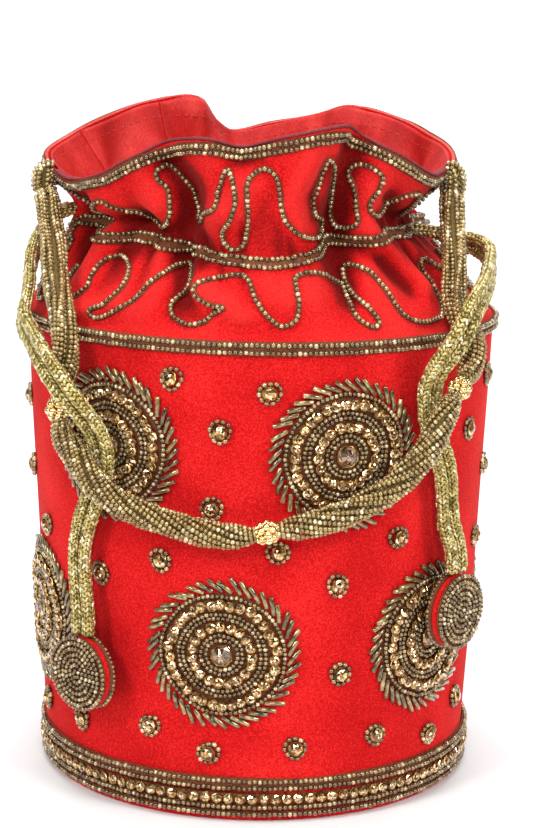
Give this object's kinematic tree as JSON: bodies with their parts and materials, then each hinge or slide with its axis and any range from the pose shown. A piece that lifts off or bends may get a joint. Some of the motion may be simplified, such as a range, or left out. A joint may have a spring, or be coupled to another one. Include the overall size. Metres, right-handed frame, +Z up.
{
  "type": "potli bag",
  "caption": "Drawstring potli pouch: stiff round velvet body with bead medallions, gathered open top, twisted bead-strand handle and gold drawcords ending in beaded discs.",
  "frame": {"origin": "middle of the base board's underside", "axes": "+Z up, front with the draped handle faces -Y, +X to the right seen from the front"},
  "size_m": [0.1546, 0.1622, 0.2136],
  "materials": {
    "red_velvet": "deep red cotton velvet, matt pile with a sheen on the folds",
    "red_satin": "bright red satin with a soft gloss",
    "seed_beads": "silver-lined olive gold glass seed beads",
    "stones": "champagne gold faceted glass stones ringed with seed beads and bugle beads",
    "bead_strands": "twisted strands of olive gold glass seed beads",
    "gold_cord": "pale gold knitted tinsel cord",
    "gold_metal": "polished gilt filigree"
  },
  "bodies": {
    "root": {"base_board": "red_velvet", "drum_wall": "red_velvet", "velvet_top": "red_velvet", "satin_lining": "red_satin", "rim_beads": "seed_beads", "neck_beads_front": "seed_beads", "neck_beads_back": "seed_beads", "seam_beads": "seed_beads", "base_beads_upper": "seed_beads", "base_stone_chain": "stones", "base_beads_lower": "seed_beads", "upper_meander": "seed_beads", "lower_meander": "seed_beads", "upper_medallion_1": "stones", "lower_medallion_1": "stones", "upper_medallion_2": "stones", "lower_medallion_2": "stones", "upper_medallion_3": "stones", "lower_medallion_3": "stones", "upper_medallion_4": "stones", "lower_medallion_4": "stones", "lower_medallion_5": "stones", "lower_medallion_6": "stones", "handle_strands": "bead_strands", "spacer_bead_left": "gold_metal", "spacer_bead_middle": "gold_metal", "spacer_bead_right": "gold_metal", "tassel_left_core": "red_velvet", "tassel_left_front": "seed_beads", "tassel_left_back": "seed_beads", "tassel_right_core": "red_velvet", "tassel_right_front": "seed_beads", "tassel_right_back": "seed_beads", "drawcord_left": "gold_cord", "drawcord_right": "gold_cord"}
  },
  "joints": []
}
